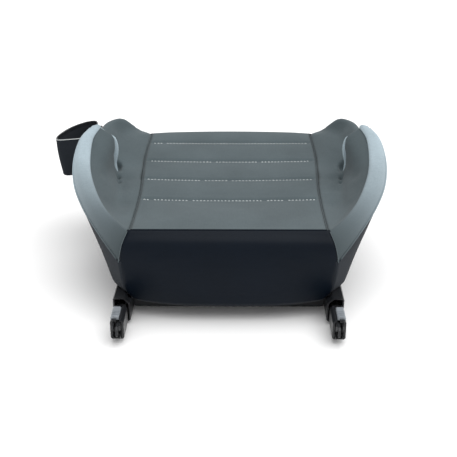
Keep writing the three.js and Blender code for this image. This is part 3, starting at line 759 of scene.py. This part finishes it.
# ---- thin piping along the lower edge of the band ----
def tube_along(name, path, radius, sides=8):
    """A round cord whose centre follows the points of the path."""
    tangents = np.gradient(path, axis=0)
    tangents /= np.linalg.norm(tangents, axis=1)[:, None]
    side = np.cross(tangents, (0.0, 0.0, 1.0))
    side /= np.maximum(np.linalg.norm(side, axis=1)[:, None], 1e-6)
    up = np.cross(side, tangents)
    angles = np.linspace(0, 2 * np.pi, sides + 1)[:-1]
    vertices = np.concatenate([path + radius * (np.cos(a) * side + np.sin(a) * up) for a in angles])
    count = len(path)
    faces = []
    for a in range(sides):
        b = (a + 1) % sides
        low, high = a * count, b * count
        faces += [(low + i, low + i + 1, high + i + 1, high + i) for i in range(count - 1)]
    faces.append(tuple(a * count for a in range(sides)))
    faces.append(tuple(a * count + count - 1 for a in range(sides))[::-1])
    piece = new_object(name, vertices, faces)
    face_outwards(piece)
    return piece


BAND_PIPING_RADIUS = 1.2
END_PIPING_RADIUS = 0.5
along = np.linspace(0.02, 0.97, 120)
piping_path = moved(rear["rim"](along), -0.7, 0, -1.0)
piping_right = tube_along("band_piping_right", piping_path, BAND_PIPING_RADIUS)
piping_left = mirror_copy(piping_right, "band_piping_left")
for piece in (piping_right, piping_left):
    dress(piece, band_painted_shade_fabric, "seat", "light_fabric")

end_line = smooth_line([(131.0, -165.4, 122.2), (137.6, -176.2, 108), (141.2, -180.6, 92),
                        (142.2, -181.6, 85.5)])
end_piping_right = tube_along("band_end_piping_right", end_line(np.linspace(0, 1, 40)), END_PIPING_RADIUS)
end_piping_left = mirror_copy(end_piping_right, "band_end_piping_left")
for piece in (end_piping_right, end_piping_left):
    dress(piece, grey_fabric, "seat", "light_fabric")

# ---- dark seam cords, painted shade in the seam grooves: beside the centre cushion, and between it and the rear panel ----
SIDE_SEAM_RADIUS = 1.1
REAR_SEAM_RADIUS = 0.8
REAR_SEAM_HEIGHT = 123.6
BOLSTER_PIPING_RADIUS = 1.5
along = np.linspace(0.0, 1.0, 80)
# painted shade: dark grey cords fill the grooves beside the centre cushion
side_seams = [moved(rear["seam"](along), 0.4, 0, -0.5), moved(front["seam"](along[3:]), 0.4, 0, -0.5)]
seam_right = tube_along("side_seam_right", np.concatenate(side_seams), SIDE_SEAM_RADIUS)
seam_left = mirror_copy(seam_right, "side_seam_left")
# painted shade: a black cord laid in the rear seam's groove gives its dark line
across = np.linspace(-127, 127, 120)
rear_seam_path = np.stack([across, np.full(120, CUSHION_REAR + 1.2), np.full(120, REAR_SEAM_HEIGHT)], axis=-1)
rear_seam_shade = tube_along("rear_seam_shade", rear_seam_path, REAR_SEAM_RADIUS)
for piece in (seam_right, seam_left):
    dress(piece, seam_shade_fabric, "seat", "grey_fabric")
dress(rear_seam_shade, black_fabric, "seat", "black_fabric")

bolster_path = moved(front["rim"](np.linspace(0.04, 0.97, 100)), -1.0, 0, -0.8)
bolster_piping_right = tube_along("bolster_piping_right", bolster_path, BOLSTER_PIPING_RADIUS)
bolster_piping_left = mirror_copy(bolster_piping_right, "bolster_piping_left")
for piece in (bolster_piping_right, bolster_piping_left):
    dress(piece, charcoal_fabric, "seat", "charcoal_fabric")

# ---- light roll on the petal's front end, beside the belt slot ----
ROLL_EDGE = [(126, 168.5), (131, 168.5), (136, 169.2), (145, 170), (152, 168.6), (158, 167), (166, 166),
             (173, 166.2), (180, 167.8), (185, 170), (188, 174), (191, 180), (196, 186), (201, 192)]


def end_roll(name, reach):
    """A padded edge across the petal's end. Its seat-facing side swings in and out on its way up."""
    heights = np.linspace(127, 201, 60)
    t = np.ones(60)
    outer_edge = line_through([rear["hem"](t), rear["belly"](t), rear["rim"](t)])(np.linspace(0.5, 0.985, 60))
    edge_heights, edge_x = np.array(ROLL_EDGE).T
    low_x = np.interp(heights, edge_heights, edge_x) - reach
    high_x = np.interp(heights, outer_edge[:, 2], outer_edge[:, 0]) - 3.0
    ring = np.linspace(0, 2 * np.pi, 24, endpoint=False)
    vertices = []
    for z, a, b in zip(heights, low_x, high_x):
        middle, half = (a + b) / 2, (b - a) / 2
        for angle in ring:
            squarish = np.sign(np.cos(angle)) * abs(np.cos(angle)) ** 0.6
            vertices.append((middle + half * squarish, 35.5 + 3.0 * np.sin(angle), z))
    count = len(ring)
    faces = []
    for j in range(len(heights) - 1):
        for i in range(count):
            k = (i + 1) % count
            faces.append((j * count + i, j * count + k, (j + 1) * count + k, (j + 1) * count + i))
    faces.append(tuple(range(count))[::-1])
    faces.append(tuple(range((len(heights) - 1) * count, len(heights) * count)))
    piece = new_object(name, vertices, faces)
    face_outwards(piece)
    return piece


roll_right = end_roll("armrest_end_roll_right", 0.0)
roll_left = mirror_copy(end_roll("armrest_end_source", 1.2), "armrest_end_roll_left")
bpy.data.objects.remove(bpy.data.objects["armrest_end_source"])
# the end rolls wear the brighter copy of the band colour: painted light in the shaded slot
for piece, side in ((roll_right, "right"), (roll_left, "left")):
    dress(piece, light_fabric, "seat", "light_fabric", f"armrest_end_{side}")


# ---- outer side panels ----
def side_skin(line, inset, top=1.0):
    def at(u, v):
        skin = line_through([line["hem"](v), line["belly"](v), line["rim"](v)])(u * top)
        puff = 1.5 * np.sin(np.pi * u) * np.sin(np.pi * np.clip(v, 0, 1)) ** 0.5
        hem_roll = 2.0 * (1 - ease(u / 0.05)) + 1.5 * (1 - ease((1 - u) / 0.05))
        return moved(skin, puff - inset - hem_roll, 0, 0)
    return at


side_rear = solid_between("side_cover_rear_right", side_skin(rear, 4), side_skin(rear, 0), 50, 80)
FRONT_TOP = 0.985
side_front = solid_between(
    "side_cover_front_right", side_skin(front, 4, FRONT_TOP), side_skin(front, 0, FRONT_TOP), 50, 60)
for right, node in ((side_rear, "side_panel"), (side_front, "front_side_panel")):
    left = mirror_copy(right, right.name.replace("right", "left"))
    for piece, side in ((right, "right"), (left, "left")):
        dress(piece, charcoal_fabric, "seat", "charcoal_fabric", f"{node}_{side}")

# ---- rear and front panels ----
REAR_CENTRE = smooth_line([(0, -184, 21.5), (0, -190, 50), (0, -189, 86), (0, -178, 114), (0, -164, 122.5)])
REAR_EDGE = smooth_line([(125, -170, 24), (137, -172, 38), (140, -178, 62), (142, -181, 86),
                         (138, -177, 108), (131, -165, 122.5)])
FRONT_CENTRE = smooth_line([(0, 176, 27), (0, 187, 60), (0, 191, 105), (0, 190, 136), (0, 182, 148)])
FRONT_EDGE = smooth_line([(124, 173, 27), (133, 177, 38), (138, 184, 80), (140, 186, 126), (133, 177, 148)])


def panel_skin(centre, edge, inset, drop, rise):
    def at(u, v):
        side = 2 * u - 1
        middle, end = centre(v), edge(v)
        point = blend_points(middle, end, np.abs(side) ** 3)
        point[:, 0] = side * end[:, 0]
        outward = -math.copysign(1, centre(np.array([0.5]))[0, 1])
        roll = 2.5 * (1 - ease((1 - np.abs(side)) / 0.03)) + 2.5 * (1 - ease(v / 0.05))
        roll = roll + 1.0 * (1 - ease((1 - v) / 0.05))
        rise_top = rise * (1 - ease((1 - v) / 0.08)) * (inset == 0)
        shift_y = inset * (1 - 0.6 * v) + (roll * outward if inset == 0 else 0)
        return moved(point, 0, shift_y, -drop * v + rise_top)
    return at


def padded_panel(name, centre, edge, thickness, rise):
    inner = panel_skin(centre, edge, thickness, 4, 0)
    return solid_between(name, inner, panel_skin(centre, edge, 0, 0, rise), 120, 60)


rear_cover = padded_panel("rear_cover", REAR_CENTRE, REAR_EDGE, 10, 1.0)
front_cover = padded_panel("front_cover", FRONT_CENTRE, FRONT_EDGE, -10, -1.5)


def panel_free(points):
    outside = np.abs(points[:, 1]) > 170
    sides = ease((133 - np.abs(points[:, 0])) / 22)
    return sides * ease((points[:, 2] - 24) / 18) * ease((118 - points[:, 2]) / 14) * outside


for piece in (rear_cover, front_cover):
    swell(piece, 6, 2.0, panel_free, 3.0)
for piece, node in ((rear_cover, "rear_panel"), (front_cover, "front_panel")):
    dress(piece, black_fabric, "seat", "black_fabric", node)

# ---- soft cup holder: fabric pouch hung from a stiff oval hoop ----
CUP_MOUTH = [(-215.6, 128), (-215.6, 150), (-215.6, 170), (-221, 183), (-231, 181), (-244, 167), (-256, 146),
             (-264.5, 120), (-268.5, 94), (-265, 82), (-246, 84.5), (-228, 90.5), (-217, 98), (-215.6, 112)]
CUP_HINGE_SIDE = -215.6
CUP_CENTRE = (-238, 126)
CUP_RIM, CUP_DEPTH, CUP_WALL = 166, 62, 2.5
CUP_FLOOR_SCALE = (0.8, 0.9)


def closed_line(points):
    points = [(x, y, 0) for x, y in points]
    count = len(points)
    line = smooth_line(points[-2:] + points + points[:3])
    return lambda t: line((np.mod(t, 1) * count + 2) / (count + 4))


def cup_ring(turns, share, inset, radius=1.0):
    edge = closed_line(CUP_MOUTH)(turns)
    scale_x, scale_y = (1 + (scale - 1) * share for scale in CUP_FLOOR_SCALE)
    dx = (edge[:, 0] - CUP_HINGE_SIDE) * scale_x
    dy = (edge[:, 1] - CUP_CENTRE[1]) * scale_y
    centre_x = (CUP_CENTRE[0] - CUP_HINGE_SIDE) * scale_x
    reach = np.hypot(dx - centre_x, dy)
    grow = radius * (reach - inset) / reach
    x = CUP_HINGE_SIDE - 4 * share + centre_x + (dx - centre_x) * grow
    return np.stack([x, CUP_CENTRE[1] + dy * grow, np.full(len(turns), CUP_RIM - CUP_DEPTH * share)], axis=-1)


def make_lathe(name, rings, turns, closed=False):
    count = len(turns)
    vertices = np.concatenate(rings)
    faces = []
    pairs = list(zip(range(len(rings) - 1), range(1, len(rings))))
    if closed:
        pairs.append((len(rings) - 1, 0))
    for a, b in pairs:
        for i in range(count):
            k = (i + 1) % count
            faces.append((a * count + i, a * count + k, b * count + k, b * count + i))
    if not closed:
        faces.append(tuple(range(count))[::-1])
        faces.append(tuple((len(rings) - 1) * count + i for i in range(count)))
    piece = new_object(name, vertices, faces)
    face_outwards(piece)
    return piece


def make_pouch(name):
    """The fabric bag: outside from the floor up, over the rim, and down the inside."""
    turns = np.linspace(0, 1, 96, endpoint=False)
    floor = [(1.0, inset) for inset in (40, 28, 18, 9)] + [(0.99, 4.5), (0.965, 1.5)]
    rings = [cup_ring(turns, share, min(inset, 16), 1.0 if inset <= 16 else 16 / inset)
             for share, inset in floor]
    walls = np.linspace(0.93, 0.03, 26)
    for share in walls:
        ring = cup_ring(turns, share, 0)
        outward = ring - cup_ring(turns, share, 1.0)
        swell = 2.0 * np.sin(np.pi * share) + 0.7 * np.sin(7 * 2 * np.pi * turns + 4 * share) * share
        rings.append(ring + outward * swell[:, None])
    for share in walls[::-1]:
        rings.append(cup_ring(turns, share, CUP_WALL))
    for share, inset in ((0.955, 5), (0.965, 9), (0.965, 16), (0.965, 28)):
        rings.append(cup_ring(turns, share, min(inset, 16), 1.0 if inset <= 16 else 16 / inset))
    return make_lathe(name, rings, turns)


def hoop_piece(name, low, radius, across, height_scale=1.0, arc=(0.0, 1.0)):
    turns = np.linspace(*arc, 97)[:-1] if arc == (0.0, 1.0) else np.linspace(*arc, 60)
    rings = []
    whole = arc == (0.0, 1.0)
    sections = np.linspace(0, 2 * np.pi, 13)[:-1]
    for angle in sections:
        inset = across + radius * np.cos(angle)
        ring = cup_ring(turns, 0, inset)
        ring[:, 2] = low + radius * height_scale * np.sin(angle)
        rings.append(ring)
    count = len(turns)
    vertices = np.concatenate(rings)
    faces = []
    steps = count if whole else count - 1
    for a in range(12):
        b = (a + 1) % 12
        for i in range(steps):
            k = (i + 1) % count
            faces.append((a * count + i, a * count + k, b * count + k, b * count + i))
    if not whole:
        faces.append(tuple(a * count for a in range(12)))
        faces.append(tuple(a * count + count - 1 for a in range(12))[::-1])
    piece = new_object(name, vertices, faces)
    face_outwards(piece)
    return piece


pouch = make_pouch("cup_cloth")
dress(pouch, charcoal_fabric, "cup_holder", "charcoal_fabric", "cup_pouch")
rim_roll = hoop_piece("cup_rim_binding", CUP_RIM - 2.2, 1.7, 1.3, 1.3)
dress(rim_roll, charcoal_fabric, "cup_holder", "charcoal_fabric")
# painted highlight: a light thread line along the front arc of the cup's rim
rim_highlight = hoop_piece("cup_rim_highlight", CUP_RIM - 0.4, 0.45, 0.0, 1.0, arc=(0.52, 0.88))
dress(rim_highlight, thread, "cup_holder", "light_fabric")

# ---- floor and light ----
def make_stage():
    bpy.ops.mesh.primitive_plane_add(size=30, location=(0, 0, cad_low[2] - 0.0005))
    floor = bpy.context.object
    floor.name = "floor"
    shader = Shader("floor")
    shader.main.inputs["Base Color"].default_value = (1, 1, 1, 1)
    shader.main.inputs["Roughness"].default_value = 1.0
    shader.main.inputs["Specular IOR Level"].default_value = 0.0
    floor.data.materials.append(shader.material)
    world = bpy.data.worlds.new("world")
    world.use_nodes = True
    world.node_tree.nodes["Background"].inputs["Color"].default_value = (1, 1, 1, 1)
    world.node_tree.nodes["Background"].inputs["Strength"].default_value = 0.78
    bpy.context.scene.world = world


def soft_light(name, towards, strength, spread):
    """A broad even light coming from the given direction."""
    data = bpy.data.lights.new(name, "SUN")
    data.energy = strength
    data.angle = math.radians(spread)
    light = bpy.data.objects.new(name, data)
    light.rotation_euler = Vector(towards).to_track_quat("Z", "Y").to_euler()
    bpy.context.collection.objects.link(light)


make_stage()
soft_light("studio_light", (0.32, -0.12, 0.94), 1.8, 70)
bpy.context.scene.view_settings.view_transform = "Standard"

bpy.context.view_layer.update()
